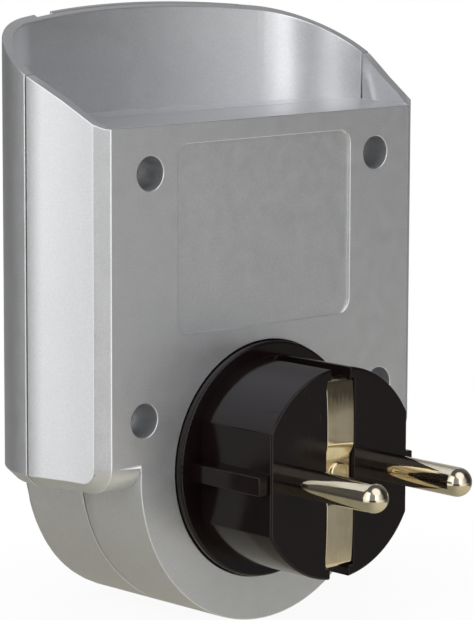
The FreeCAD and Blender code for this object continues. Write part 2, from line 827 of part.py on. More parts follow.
def leads(places):
    """Straight leads from a component down to the face of the board."""
    return [rod(lead_radius, board_back_y, y, x, z) for x, y, z in places]


def varistor(x):
    """Coated disc standing on two leads."""
    centre_y = board_back_y + varistor_stand + varistor_radius
    middle = V(x - varistor_thick / 2, centre_y, varistor_z)
    disc = Part.makeCylinder(varistor_radius, varistor_thick, middle, V(1, 0, 0))
    disc = disc.makeFillet(varistor_round, edges_like(disc, lambda b: b.XLength < 1e-5 and b.ZLength > 1.0))
    feet = [(x, centre_y - varistor_radius / 2, varistor_z + side * lead_pitch / 2) for side in (1, -1)]
    return fuse([disc] + leads(feet))


def upright_part(radius, length, x, z, edge):
    """An axial component that lies on the board along Z, with its leads bent down to the board."""
    y = board_back_y + radius + part_stand
    body = Part.makeCylinder(radius, length, V(x, y, z - length / 2), V(0, 0, 1))
    body = body.makeFillet(edge, edges_like(body, lambda b: b.ZLength < 1e-5 and b.XLength > 1.0))
    high = z + length / 2 + lead_reach
    low = z - length / 2 - lead_reach
    route = [V(x, board_back_y, high), V(x, y, high), V(x, y, low), V(x, board_back_y, low)]
    return fuse([body, bent_tube(route, lead_radius, lead_bend)])


def gas_discharge_tube():
    return upright_part(tube_radius, tube_length, varistor_pitch / 2, varistor_z + 1.5, 0.3)


def thermal_fuse():
    return upright_part(fuse_radius, fuse_length, -varistor_pitch / 2, varistor_z, 0.5)


def led_resistors():
    x = board_half - 2.0
    first = upright_part(resistor_radius, resistor_length, x, varistor_z - 5.6, 0.4)
    second = upright_part(resistor_radius, resistor_length, -x, varistor_z - 5.6, 0.4)
    return Part.makeCompound([first, second])


def blocking_diode():
    return upright_part(diode_radius, diode_length, -board_half + 2.0, varistor_z + 5.4, 0.2)


def indicator_led():
    """Small round lamp on the front of the board, with its dome towards the lens."""
    tip_y = -board_y - led_length
    body = rod(led_radius, tip_y + led_radius, -board_y, 0.0, light_z)
    dome = Part.makeSphere(led_radius, V(0, tip_y + led_radius, light_z))
    base = rod(led_radius + 0.3, -board_y - 1.0, -board_y, 0.0, light_z)
    return fuse([body, dome, base])


def indicator_lens():
    """Clear light pipe, held by its collar behind the front wall, with its tail at the lamp."""
    front = -front_y - lens_proud
    seat = -front_y + wall + lens_gap
    tail = -board_y - led_length - lens_gap
    pipe = rod(lens_radius, front, seat + lens_collar_thick, 0.0, light_z)
    pipe = pipe.makeFillet(0.5, edges_like(pipe, lambda b: near(b.YMax, front) and b.XLength > 1.0))
    collar = rod(lens_collar_radius, seat, seat + lens_collar_thick, 0.0, light_z)
    return fuse([pipe, collar, rod(led_radius, seat, tail, 0.0, light_z)])


# Wires

def bent_tube(points, radius, bend):
    """A round wire through the points, with an arc at each bend."""
    edges = []
    start = points[0]
    for before, corner, after in zip(points, points[1:], points[2:]):
        back = (before - corner).normalize()
        ahead = (after - corner).normalize()
        half_angle = back.getAngle(ahead) / 2
        trim = bend / math.tan(half_angle)
        first = corner + back * trim
        last = corner + ahead * trim
        middle_way = (back + ahead).normalize()
        centre = corner + middle_way * (bend / math.sin(half_angle))
        middle = centre - middle_way * bend
        edges.append(Part.LineSegment(start, first).toShape())
        edges.append(Part.Arc(first, middle, last).toShape())
        start = last
    edges.append(Part.LineSegment(start, points[-1]).toShape())
    path = Part.Wire(edges)
    section = Part.Wire(Part.makeCircle(radius, points[0], points[1] - points[0]))
    return path.makePipeShell([section], True, False)


def board_wire(x, y, z):
    """A wire that climbs from a contact and turns forward to the back of the board."""
    route = [V(x, y, z), V(x, y, wire_land_z), V(x, board_back_y, wire_land_z)]
    return bent_tube(route, wire_radius, wire_bend)


def live_wire(x):
    return board_wire(x, tab_front_y() + tab_thick / 2, tab_top_z)


def earth_wire():
    return board_wire(0.0, bracket_front_y + bracket_thick / 2, bracket_reach)


nodes = {
    "rear_cover": rear_cover,
    "front_cover": front_cover,
    "front_panel": front_panel,
    "cover_screws": cover_screws,
    "plug_body": plug_body,
    "plug_earth_strip": plug_earth_strip,
    "earth_rivet": earth_rivet,
    "line_pin": lambda: pin(pin_x),
    "neutral_pin": lambda: pin(-pin_x),
    "socket_insert": socket_insert,
    "shutter": shutter,
    "shutter_spring": shutter_spring,
    "shutter_cover": shutter_cover,
    "contact_carrier": contact_carrier,
    "line_contact": lambda: live_contact(pin_x),
    "neutral_contact": lambda: live_contact(-pin_x),
    "earth_bracket": earth_bracket,
    "earth_clip_upper": earth_clip,
    "earth_clip_lower": lambda: earth_clip().mirror(V(0, 0, 0), V(0, 0, 1)),
    "circuit_board": circuit_board,
    "board_screws": board_screws,
    "varistor_line_neutral": lambda: varistor(0.0),
    "varistor_line_earth": lambda: varistor(varistor_pitch),
    "varistor_neutral_earth": lambda: varistor(-varistor_pitch),
    "gas_discharge_tube": gas_discharge_tube,
    "thermal_fuse": thermal_fuse,
    "led_resistors": led_resistors,
    "blocking_diode": blocking_diode,
    "indicator_led": indicator_led,
    "indicator_lens": indicator_lens,
    "line_wire": lambda: live_wire(pin_x),
    "neutral_wire": lambda: live_wire(-pin_x),
    "earth_wire": earth_wire,
}

os.makedirs("parts", exist_ok=True)
for name, make in nodes.items():
    shape = make()
    state = "valid" if shape.isValid() else "NOT VALID"
    print(name, state, len(shape.Solids), "solids", round(shape.Volume, 1), "mm3")
    shape.exportStep(f"parts/{name}.step")
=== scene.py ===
import bmesh
import bpy
import math
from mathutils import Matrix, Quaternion, Vector


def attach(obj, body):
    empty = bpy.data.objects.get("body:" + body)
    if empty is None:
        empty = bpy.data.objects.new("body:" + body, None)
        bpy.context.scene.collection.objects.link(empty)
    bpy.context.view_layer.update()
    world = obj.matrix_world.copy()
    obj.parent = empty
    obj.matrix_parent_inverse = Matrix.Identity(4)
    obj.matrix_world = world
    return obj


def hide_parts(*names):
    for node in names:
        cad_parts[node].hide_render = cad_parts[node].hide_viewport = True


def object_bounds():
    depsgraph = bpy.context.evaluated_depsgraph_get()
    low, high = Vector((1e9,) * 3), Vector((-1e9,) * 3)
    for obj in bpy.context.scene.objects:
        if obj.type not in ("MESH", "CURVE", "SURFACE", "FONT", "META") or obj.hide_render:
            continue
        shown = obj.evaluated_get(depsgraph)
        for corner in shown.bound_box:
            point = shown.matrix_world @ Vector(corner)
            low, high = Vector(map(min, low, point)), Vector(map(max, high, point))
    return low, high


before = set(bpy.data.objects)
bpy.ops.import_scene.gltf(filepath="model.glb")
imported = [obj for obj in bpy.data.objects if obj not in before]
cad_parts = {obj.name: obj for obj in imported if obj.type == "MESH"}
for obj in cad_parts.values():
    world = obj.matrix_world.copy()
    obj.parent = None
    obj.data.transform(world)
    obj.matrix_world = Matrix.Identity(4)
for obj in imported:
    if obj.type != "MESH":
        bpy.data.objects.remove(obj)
cad_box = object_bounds()


# Front cover
# The front half of the case, moulded in plastic and sprayed with silver flake paint. Its wall rises into
# the open hood. Its sharp edges are rounded by 0.15 mm, and the rounding wears a brighter, glossier paint: a
# painted highlight along the edges.

MM = 0.001


def srgb(red, green, blue):
    """A colour read as eight bit screen values, as the shader wants it."""
    def channel(value):
        share = value / 255
        return share / 12.92 if share <= 0.04045 else ((share + 0.055) / 1.055) ** 2.4
    return (channel(red), channel(green), channel(blue), 1.0)


def feed(tree, value, socket):
    """Links an output to a socket, or sets a plain value on it."""
    if isinstance(value, bpy.types.NodeSocket):
        tree.links.new(value, socket)
    else:
        socket.default_value = value


def start_group(name, inputs, outputs):
    """A shader node group with named sockets, given as (label, kind, value) or (label, kind)."""
    group = bpy.data.node_groups.new(name, "ShaderNodeTree")
    for label, kind, value in inputs:
        socket = group.interface.new_socket(label, in_out="INPUT", socket_type="NodeSocket" + kind)
        socket.default_value = value
    for label, kind in outputs:
        group.interface.new_socket(label, in_out="OUTPUT", socket_type="NodeSocket" + kind)
    inlet = group.nodes.new("NodeGroupInput")
    outlet = group.nodes.new("NodeGroupOutput")
    return group, inlet.outputs, outlet.inputs


def sums(tree, operation, *values):
    """A sum on numbers."""
    node = tree.nodes.new("ShaderNodeMath")
    node.operation = operation
    for value, socket in zip(values, node.inputs):
        feed(tree, value, socket)
    return node.outputs[0]


def vector_sums(tree, operation, first, second):
    """A sum on two vectors. A distance or a dot product is a number, and the rest are vectors."""
    node = tree.nodes.new("ShaderNodeVectorMath")
    node.operation = operation
    feed(tree, first, node.inputs[0])
    feed(tree, second, node.inputs[1])
    return node.outputs["Value" if operation in ("DISTANCE", "DOT_PRODUCT") else "Vector"]


def place_of(tree):
    """The place on the piece, in metres from its own origin."""
    return tree.nodes.new("ShaderNodeTexCoord").outputs["Object"]


def axes_of(tree, place):
    """The X, Y and Z of a place, each as a number."""
    node = tree.nodes.new("ShaderNodeSeparateXYZ")
    feed(tree, place, node.inputs[0])
    return node.outputs


def noise(tree, place, grain, detail=2.0):
    """Noise whose blotches are about grain metres across."""
    node = tree.nodes.new("ShaderNodeTexNoise")
    feed(tree, place, node.inputs["Vector"])
    node.inputs["Scale"].default_value = 1 / grain
    node.inputs["Detail"].default_value = detail
    return node.outputs[0]


def swung(tree, pattern, reach, middle):
    """A noise made to swing about a middle value, by half of reach up and half down."""
    return sums(tree, "MULTIPLY_ADD", sums(tree, "SUBTRACT", pattern, 0.5), reach, middle)


def spread(tree, value, low, high, new_low=0.0, new_high=1.0):
    """Maps low to high onto new_low to new_high, smoothly and held at the ends."""
    node = tree.nodes.new("ShaderNodeMapRange")
    node.interpolation_type = "SMOOTHSTEP"
    for given, label in zip((value, low, high, new_low, new_high),
                            ("Value", "From Min", "From Max", "To Min", "To Max")):
        feed(tree, given, node.inputs[label])
    return node.outputs["Result"]


def brightened(tree, colour, factor):
    """A colour times a number."""
    node = tree.nodes.new("ShaderNodeVectorMath")
    node.operation = "SCALE"
    feed(tree, colour, node.inputs[0])
    feed(tree, factor, node.inputs["Scale"])
    return node.outputs["Vector"]


rub_grain = 0.25 * MM
rub_stretch = (1.0, 1.0, 0.06)
rub_edge = (0.66, 0.74)
rub_patch = 14 * MM
rub_patch_edge = (0.52, 0.68)


def scuff_group():
    """Thin rubbed lines in patches: a mask that other groups lighten or roughen by."""
    group, given, out = start_group("rubbed_lines", [("Amount", "Float", 0.5)], [("Mask", "Float")])
    place = place_of(group)
    stretched = vector_sums(group, "MULTIPLY", place, rub_stretch)
    lines = spread(group, noise(group, stretched, rub_grain, 1.0), *rub_edge)
    patches = spread(group, noise(group, place, rub_patch), *rub_patch_edge)
    mask = sums(group, "MULTIPLY", sums(group, "MULTIPLY", lines, patches), given["Amount"])
    group.links.new(mask, out["Mask"])
    return group


rubbed_lines = scuff_group()


def rubbed(tree, amount):
    """The mask of the rubbed lines, placed in another group."""
    node = tree.nodes.new("ShaderNodeGroup")
    node.node_tree = rubbed_lines
    feed(tree, amount, node.inputs["Amount"])
    return node.outputs["Mask"]


flake_grain = 0.3 * MM
spray_cloud = 2.4 * MM
spray_wash = 22 * MM
flake_contrast = 1.6
cloud_contrast = 0.5
wash_contrast = 0.4
cloud_roughness = 0.12
flake_relief = 0.7
curl_start = -12 * MM
curl_width = 3.2 * MM


def flake_group():
    """Silver flake paint: mottling from the flakes, soft clouds and washes from the spraying, and a curl
    of the surface beyond curl_start, which makes the wall seem to turn in before the case's joint."""
    group, given, out = start_group(
        "flake_paint",
        [("Color", "Color", srgb(190, 190, 190)), ("Mottle", "Float", 0.1), ("Roughness", "Float", 0.35),
         ("Rubbing", "Float", 0.5), ("Curl", "Float", 0.0)],
        [("Color", "Color"), ("Roughness", "Float"), ("Height", "Float")])
    place = place_of(group)
    flakes = noise(group, place, flake_grain, 1.0)
    clouds = noise(group, place, spray_cloud)
    washes = noise(group, place, spray_wash)
    ripple = rubbed(group, given["Rubbing"])
    ripple = swung(group, flakes, flake_contrast, ripple)
    ripple = swung(group, clouds, cloud_contrast, ripple)
    ripple = swung(group, washes, wash_contrast, ripple)
    factor = sums(group, "MULTIPLY_ADD", ripple, given["Mottle"], 1.0)
    group.links.new(brightened(group, given["Color"], factor), out["Color"])
    group.links.new(swung(group, clouds, cloud_roughness, given["Roughness"]), out["Roughness"])
    height = sums(group, "MULTIPLY", clouds, 1.0 - flake_relief)
    height = sums(group, "MULTIPLY_ADD", flakes, flake_relief, height)
    near = sums(group, "SUBTRACT", curl_start, axes_of(group, place)["Y"])
    near = sums(group, "DIVIDE", sums(group, "MAXIMUM", near, 0.0), curl_width)
    curl = sums(group, "MULTIPLY", sums(group, "POWER", near, 2.0), given["Curl"])
    group.links.new(sums(group, "SUBTRACT", height, curl), out["Height"])
    return group


flake_paint = flake_group()


def finished(name, group, values, relief=0.02 * MM, **shader_values):
    """A material: one effect group into a Principled shader, which has its plain values set directly. An
    underscore in their labels stands for a space."""
    material = bpy.data.materials.new(name)
    material.use_nodes = True
    tree = material.node_tree
    shader = tree.nodes["Principled BSDF"]
    for label, value in shader_values.items():
        shader.inputs[label.replace("_", " ")].default_value = value
    effect = tree.nodes.new("ShaderNodeGroup")
    effect.node_tree = group
    for label, value in values.items():
        effect.inputs[label].default_value = value
    bump = tree.nodes.new("ShaderNodeBump")
    bump.inputs["Distance"].default_value = relief
    tree.links.new(effect.outputs["Color"], shader.inputs["Base Color"])
    tree.links.new(effect.outputs["Roughness"], shader.inputs["Roughness"])
    tree.links.new(effect.outputs["Height"], bump.inputs["Height"])
    tree.links.new(bump.outputs["Normal"], shader.inputs["Normal"])
    return material


def wears(piece, material):
    """Gives the whole piece one material."""
    piece.data.materials.clear()
    piece.data.materials.append(material)


def added(name, data):
    """A new object in the scene."""
    thing = bpy.data.objects.new(name, data)
    bpy.context.scene.collection.objects.link(thing)
    return thing


sharp_angle = math.radians(26)
flat_angle = math.radians(0.3)
same_point = 0.005 * MM
room_share = 0.4


def rounding_share(side, width):
    """How much of the full rounding one edge takes: less where room is short, none in a hollow corner."""
    if not side.is_convex:
        return 0.0
    around = {other for corner in side.verts for other in corner.link_edges} - {side}
    room = min(other.calc_length() for other in around)
    return min(1.0, room_share * room / width)


def softened(node, name, width, material, edge_highlight_material=None):
    """A copy of a CAD part with its sharp edges rounded by width, which stands for that part."""
    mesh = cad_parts[node].data.copy()
    mesh.name = name
    if "custom_normal" in mesh.attributes:
        mesh.attributes.remove(mesh.attributes["custom_normal"])
    work = bmesh.new()
    work.from_mesh(mesh)
    bmesh.ops.remove_doubles(work, verts=work.verts, dist=same_point)
    bmesh.ops.dissolve_limit(work, angle_limit=flat_angle, verts=work.verts, edges=work.edges)
    bmesh.ops.recalc_face_normals(work, faces=work.faces)
    for face in work.faces:
        face.smooth = True
    shares = work.edges.layers.float.new("bevel_weight_edge")
    for side in work.edges:
        if len(side.link_faces) == 2 and side.calc_face_angle() > sharp_angle:
            side[shares] = rounding_share(side, width)
            side.smooth = side[shares] > 0
    work.to_mesh(mesh)
    work.free()
    piece = added(name, mesh)
    rounding = piece.modifiers.new("rounded_edges", "BEVEL")
    rounding.width = width
    rounding.segments = 2
    rounding.limit_method = "WEIGHT"
    rounding.use_clamp_overlap = False
    shading = piece.modifiers.new("flat_faces", "WEIGHTED_NORMAL")
    shading.keep_sharp = True
    wears(piece, material)
    # The rounded edges take a second material; for the case it is a brighter paint, a painted highlight.
    if edge_highlight_material:
        piece.data.materials.append(edge_highlight_material)
        rounding.material = 1
    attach(piece, "housing")
    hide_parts(node)


paint_relief = 0.008 * MM


def silver_paint(name, colour, roughness, curl=0.0):
    """The case's paint: a metallic mottle without rubbed lines, whose surface can curl by a depth."""
    return finished(name, flake_paint,
                    {"Color": colour, "Mottle": 0.13, "Roughness": roughness, "Rubbing": 0.0,
                     "Curl": curl / paint_relief}, relief=paint_relief, Metallic=0.9)


silver_colour = srgb(222, 223, 225)
silver_roughness = 0.4
case_edge = 0.15 * MM
silver = silver_paint("silver_flake_paint", silver_colour, silver_roughness)
# Painted highlight: the rounded edges get a brighter, glossier paint so that they show as bright lines.
silver_edge_highlight = silver_paint("silver_paint_edge_highlight", srgb(236, 237, 239), 0.32)
softened("front_cover", "front_shell", case_edge, silver, silver_edge_highlight)


# Front plate
# A thin plastic plate with a satin silver finish and one top corner cut off. It is let into a recess in the
# front wall, from the hood's rim down to the socket, and lies flush with it.

plate_edge = 0.1 * MM
satin_silver = finished("satin_silver_plate", flake_paint,
                        {"Color": srgb(216, 217, 219), "Mottle": 0.08, "Roughness": 0.36, "Rubbing": 0.2},
                        relief=0.006 * MM, Metallic=0.9)
softened("front_panel", "front_plate", plate_edge, satin_silver)


# Socket well
# The round well with the front socket, its pin holes and the post on which the shutter turns. It is moulded
# in one piece in glossy black plastic, like the plug, and stands in the front cover's opening.

moulding_grain = 0.5 * MM
moulding_cloud = 9 * MM
moulding_roughness = 0.16
rub_strength = 0.25
rub_colour = srgb(150, 148, 145)


def mixed(tree, share, first, second):
    """A colour between two, by share. The node's inputs 6 and 7 are its colours."""
    node = tree.nodes.new("ShaderNodeMix")
    node.data_type = "RGBA"
    feed(tree, share, node.inputs[0])
    feed(tree, first, node.inputs[6])
    feed(tree, second, node.inputs[7])
    return node.outputs[2]


def moulded_group():
    """Moulded plastic: slight colour clouds, a fine grain and rubbed lines that catch the light."""
    group, given, out = start_group(
        "moulded_plastic",
        [("Color", "Color", srgb(40, 40, 40)), ("Clouds", "Float", 0.1), ("Roughness", "Float", 0.3),
         ("Grain", "Float", 0.4), ("Rubbing", "Float", 0.3)],
        [("Color", "Color"), ("Roughness", "Float"), ("Height", "Float")])
    place = place_of(group)
    fine = noise(group, place, moulding_grain)
    broad = noise(group, place, moulding_cloud)
    marks = rubbed(group, given["Rubbing"])
    shade = brightened(group, given["Color"], swung(group, broad, given["Clouds"], 1.0))
    shade = mixed(group, sums(group, "MULTIPLY", marks, rub_strength), shade, rub_colour)
    group.links.new(shade, out["Color"])
    rough = swung(group, broad, moulding_roughness, given["Roughness"])
    group.links.new(sums(group, "MULTIPLY_ADD", marks, rub_strength, rough), out["Roughness"])
    group.links.new(sums(group, "MULTIPLY", fine, given["Grain"]), out["Height"])
    return group


well_edge = 0.15 * MM
moulded_plastic = moulded_group()
black_gloss = finished("glossy_black_plastic", moulded_plastic,
                       {"Color": srgb(27, 25, 25), "Clouds": 0.3, "Roughness": 0.24, "Grain": 0.5,
                        "Rubbing": 0.3}, relief=0.01 * MM, IOR=1.5)
softened("socket_insert", "socket_well", well_edge, black_gloss)


# Shutter, its spring and its cover
# Child protection behind the pin holes: a rotor moulded in dark plastic on the well's post, and a coil of
# spring wire that turns it back. An insulating plate keeps them in their chamber.

metal_line = 0.18 * MM
line_contrast = 0.22
line_roughness = 0.14
tarnish_cloud = 3.5 * MM
tarnish_edge = (0.42, 0.72)
tarnish_roughness = 0.2


def worked_metal_group():
    """Drawn, rolled or polished metal: lines along one way, with clouds of tarnish."""
    group, given, out = start_group(
        "worked_metal",
        [("Color", "Color", srgb(190, 185, 170)), ("Tarnish", "Color", srgb(120, 105, 80)),
         ("Stretch", "Vector", (1.0, 1.0, 1.0)), ("Age", "Float", 0.3), ("Roughness", "Float", 0.25)],
        [("Color", "Color"), ("Roughness", "Float"), ("Height", "Float")])
    place = place_of(group)
    lines = noise(group, vector_sums(group, "MULTIPLY", place, given["Stretch"]), metal_line, 3.0)
    clouds = spread(group, noise(group, place, tarnish_cloud), *tarnish_edge)
    share = sums(group, "MULTIPLY", clouds, given["Age"])
    shade = mixed(group, share, given["Color"], given["Tarnish"])
    group.links.new(brightened(group, shade, swung(group, lines, line_contrast, 1.0)), out["Color"])
    rough = swung(group, lines, line_roughness, given["Roughness"])
    group.links.new(sums(group, "MULTIPLY_ADD", share, tarnish_roughness, rough), out["Roughness"])
    group.links.new(lines, out["Height"])
    return group


worked_metal = worked_metal_group()


def keeps(node, material):
    """A CAD part that is shown as it is, in its own finish."""
    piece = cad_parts[node]
    wears(piece, material)


shutter_grey = finished("shutter_plastic", moulded_plastic,
                        {"Color": srgb(58, 58, 60), "Clouds": 0.2, "Roughness": 0.42, "Grain": 0.7},
                        IOR=1.5)
spring_wire = finished("spring_steel", worked_metal,
                       {"Color": srgb(168, 168, 166), "Tarnish": srgb(110, 100, 90), "Age": 0.2,
                        "Roughness": 0.25}, relief=0.004 * MM, Metallic=1.0)
ivory = finished("ivory_insulator", moulded_plastic,
                 {"Color": srgb(214, 208, 190), "Clouds": 0.12, "Roughness": 0.5, "Grain": 1.0}, IOR=1.5)
keeps("shutter", shutter_grey)
keeps("shutter_spring", spring_wire)
keeps("shutter_cover", ivory)


# Live contacts and their carrier
# Two sleeves rolled from bronze strip, each with a bar to the tail of the adapter's own pin. They stand in
# a block of ivory insulating plastic, which closes the back of the well.

# Noise drawn out twentyfold along one axis gives the lines of rolling or turning.
along_y = (1.0, 0.05, 1.0)
bronze = finished("contact_bronze", worked_metal,
                  {"Color": srgb(196, 150, 92), "Tarnish": srgb(120, 78, 44), "Stretch": along_y,
                   "Age": 0.4, "Roughness": 0.3}, relief=0.006 * MM, Metallic=1.0)
keeps("contact_carrier", ivory)
for part in ("line_contact", "neutral_contact"):
    keeps(part, bronze)


# Earth bracket and the clips in the well
# A bronze strap bent across the back of the well, and two nickel plated tongues with rolled roots on its
# legs, which spring against the sides of a plug.

clip_nickel = finished("nickel_plated_clip", worked_metal,
                       {"Color": srgb(206, 200, 184), "Tarnish": srgb(150, 138, 112), "Stretch": along_y,
                        "Age": 0.3, "Roughness": 0.22}, relief=0.005 * MM, Metallic=1.0)
keeps("earth_bracket", bronze)
for part in ("earth_clip_upper", "earth_clip_lower"):
    keeps(part, clip_nickel)


# Circuit board
# Glass fibre board under green lacquer, with copper tracks that show through as lighter lanes. Two zinc
# plated steel screws hold it.

track_pitch = 5 * MM
track_edge = (0.42, 0.46)
weave_grain = 0.6 * MM
weave_roughness = 0.15
weave_relief = 0.3


def board_group():
    """Lacquer over copper tracks: square lanes, and the weave of the glass cloth below."""
    group, given, out = start_group(
        "board_lacquer",
        [("Color", "Color", srgb(20, 84, 48)), ("Track Color", "Color", srgb(44, 122, 66)),
         ("Roughness", "Float", 0.3)],
        [("Color", "Color"), ("Roughness", "Float"), ("Height", "Float")])
    place = place_of(group)
    lanes = group.nodes.new("ShaderNodeTexVoronoi")
    lanes.distance = "CHEBYCHEV"
    group.links.new(place, lanes.inputs["Vector"])
    lanes.inputs["Scale"].default_value = 1 / track_pitch
    tracks = spread(group, lanes.outputs["Distance"], *track_edge)
    weave = noise(group, place, weave_grain)
    group.links.new(mixed(group, tracks, given["Color"], given["Track Color"]), out["Color"])
    rough = sums(group, "MULTIPLY_ADD", weave, weave_roughness, given["Roughness"])
    group.links.new(rough, out["Roughness"])
    group.links.new(sums(group, "MULTIPLY_ADD", weave, weave_relief, tracks), out["Height"])
    return group


along_z = (1.0, 1.0, 0.05)
zinc = finished("zinc_plated_steel", worked_metal,
                {"Color": srgb(186, 188, 190), "Tarnish": srgb(140, 140, 132), "Stretch": along_z,
                 "Age": 0.4, "Roughness": 0.34}, relief=0.006 * MM, Metallic=1.0)
green_board = finished("green_circuit_board", board_group(), {}, relief=0.03 * MM, IOR=1.5)
keeps("circuit_board", green_board)
keeps("board_screws", zinc)


# Varistors
# Three ceramic discs dipped in blue coating, which take up a surge. Each stands on the board on two
# straight leads.

blue_coat = finished("blue_varistor_coat", moulded_plastic,
                     {"Color": srgb(28, 78, 150), "Clouds": 0.35, "Roughness": 0.38, "Grain": 1.0}, IOR=1.5)
for part in ("varistor_line_neutral", "varistor_line_earth", "varistor_neutral_earth"):
    keeps(part, blue_coat)


# Gas discharge tube, fuse, resistors and diode
# An arrester tube with metal caps, a thermal fuse in a metal can, two lacquered resistors and a moulded
# diode. All lie on the board, on leads bent down to it.

tube_metal = finished("arrester_caps", worked_metal,
                      {"Color": srgb(200, 198, 194), "Tarnish": srgb(150, 146, 140), "Age": 0.3,
                       "Roughness": 0.28}, relief=0.005 * MM, Metallic=1.0)
beige = finished("beige_lacquer", moulded_plastic,
                 {"Color": srgb(206, 178, 132), "Clouds": 0.25, "Roughness": 0.4, "Grain": 0.8}, IOR=1.5)
diode_black = finished("black_component", moulded_plastic,
                       {"Color": srgb(34, 34, 36), "Clouds": 0.25, "Roughness": 0.5, "Grain": 1.0}, IOR=1.5)
for part in ("gas_discharge_tube", "thermal_fuse"):
    keeps(part, tube_metal)
keeps("led_resistors", beige)
keeps("blocking_diode", diode_black)


# Function light
# A lamp in green plastic on the board, and a clear moulded light pipe that carries its light out. The pipe
# goes through the front plate and is held by a collar behind the front wall.

lamp_green = finished("green_lamp", moulded_plastic,
                      {"Color": srgb(70, 190, 96), "Clouds": 0.15, "Roughness": 0.2, "Grain": 0.3},
                      IOR=1.5, Transmission_Weight=0.4)
clear_lens = finished("clear_light_pipe", moulded_plastic,
                      {"Color": srgb(226, 240, 228), "Clouds": 0.05, "Roughness": 0.12, "Grain": 0.3},
                      relief=0.004 * MM, IOR=1.49, Transmission_Weight=0.85)
keeps("indicator_led", lamp_green)
keeps("indicator_lens", clear_lens)


# Wires
# Three short copper leads in plastic insulation, which climb to the back of the board: brown and blue from
# the live contacts, green and yellow from earth.

lead_grain = 0.8 * MM
lead_contrast = 0.2
lead_roughness = 0.1
colour_change = 0.05 * MM


def wire_coat(name, colour):
    """Insulation of one colour."""
    return finished(name, moulded_plastic,
                    {"Color": colour, "Clouds": 0.2, "Roughness": 0.42, "Grain": 0.6}, IOR=1.5)


def striped_group():
    """Two colours along a lead, one on each side of it."""
    group, given, out = start_group(
        "two_colour_lead",
        [("Color", "Color", srgb(48, 132, 62)), ("Second Color", "Color", srgb(214, 196, 50)),
         ("Roughness", "Float", 0.4)],
        [("Color", "Color"), ("Roughness", "Float"), ("Height", "Float")])
    place = place_of(group)
    side = spread(group, axes_of(group, place)["X"], -colour_change, colour_change)
    fine = noise(group, place, lead_grain)
    shade = mixed(group, side, given["Color"], given["Second Color"])
    group.links.new(brightened(group, shade, swung(group, fine, lead_contrast, 1.0)), out["Color"])
    rough = sums(group, "MULTIPLY_ADD", fine, lead_roughness, given["Roughness"])
    group.links.new(rough, out["Roughness"])
    group.links.new(fine, out["Height"])
    return group


keeps("line_wire", wire_coat("brown_insulation", srgb(96, 58, 34)))
keeps("neutral_wire", wire_coat("blue_insulation", srgb(46, 92, 168)))
keeps("earth_wire", finished("green_yellow_insulation", striped_group(), {}, IOR=1.5))


# Rear cover
# The back half of the case, moulded and sprayed like the front one, with a framed field, four deep screw
# holes and the plug's opening. Its wall seems to turn in a little towards the joint.

curl_depth = 0.384 * MM
silver_rear = silver_paint("silver_paint_rear", silver_colour, silver_roughness, curl_depth)
# Its rounded edges carry the same painted highlight as the front shell.
softened("rear_cover", "rear_shell", case_edge, silver_rear, silver_edge_highlight)


# Plug
# The plug that goes into the wall: one moulding in glossy black plastic, with a flange, two flats, ribs and
# a channel for the earth strip. It stands in the rear cover's opening.

plug_edge = 0.2 * MM
plug_black = finished("plug_black_plastic", moulded_plastic,
                      {"Color": srgb(18, 11, 11), "Clouds": 0.4, "Roughness": 0.15, "Grain": 0.6,
                       "Rubbing": 0.2}, relief=0.008 * MM, IOR=1.36)
softened("plug_body", "plug_moulding", plug_edge, plug_black)


# Earth strip and its rivet
# A nickel plated strip bent over the plug's face and down both channels. A round headed rivet holds it, and
# its shank runs back through the plug to the earth bracket.

strip_edge = 0.12 * MM
strip_nickel = finished("nickel_plated_strip", worked_metal,
                        {"Color": srgb(238, 223, 190), "Tarnish": srgb(190, 166, 120), "Stretch": along_z,
                         "Age": 0.3, "Roughness": 0.12}, relief=0.004 * MM, Metallic=1.0)
softened("plug_earth_strip", "earth_strip", strip_edge, strip_nickel)
keeps("earth_rivet", strip_nickel)


# Pins
# Two brass pins, 4.8 mm thick, turned with domed ends, nickel plated and polished. Their thinner roots are
# held in the plug, and their tails carry the live contacts.

pin_nickel = finished("polished_nickel", worked_metal,
                      {"Color": srgb(226, 216, 192), "Tarnish": srgb(180, 156, 116), "Stretch": along_y,
                       "Age": 0.25, "Roughness": 0.06}, relief=0.002 * MM, Metallic=1.0)
for part in ("line_pin", "neutral_pin"):
    keeps(part, pin_nickel)


# Cover screws
# Four cross head screws of zinc plated steel, deep in the rear cover's holes. Driven in from behind, they
# hold the two halves of the case together.

keeps("cover_screws", zinc)


# Floor
# A pale matt studio floor under the object. It keeps a light shadow near the object and fades to plain white
# further out. Gloss doesn't mirror it: the lower half of the light tent takes its place there.

lowest, highest = cad_box
middle = (lowest + highest) / 2
floor_gap = 0.2 * MM
floor_radius = 450 * MM
floor_weave = 3 * MM
shadow_radius = 35 * MM
white_radius = 95 * MM
shadow_white = 0.92


def seen_directly(tree):
    """1 for rays from the camera, from a gloss or through something clear, and 0 for the rest."""
    ray = tree.nodes.new("ShaderNodeLightPath")
    seen = sums(tree, "MAXIMUM", ray.outputs["Is Camera Ray"], ray.outputs["Is Glossy Ray"])
    return sums(tree, "MAXIMUM", seen, ray.outputs["Is Transmission Ray"])


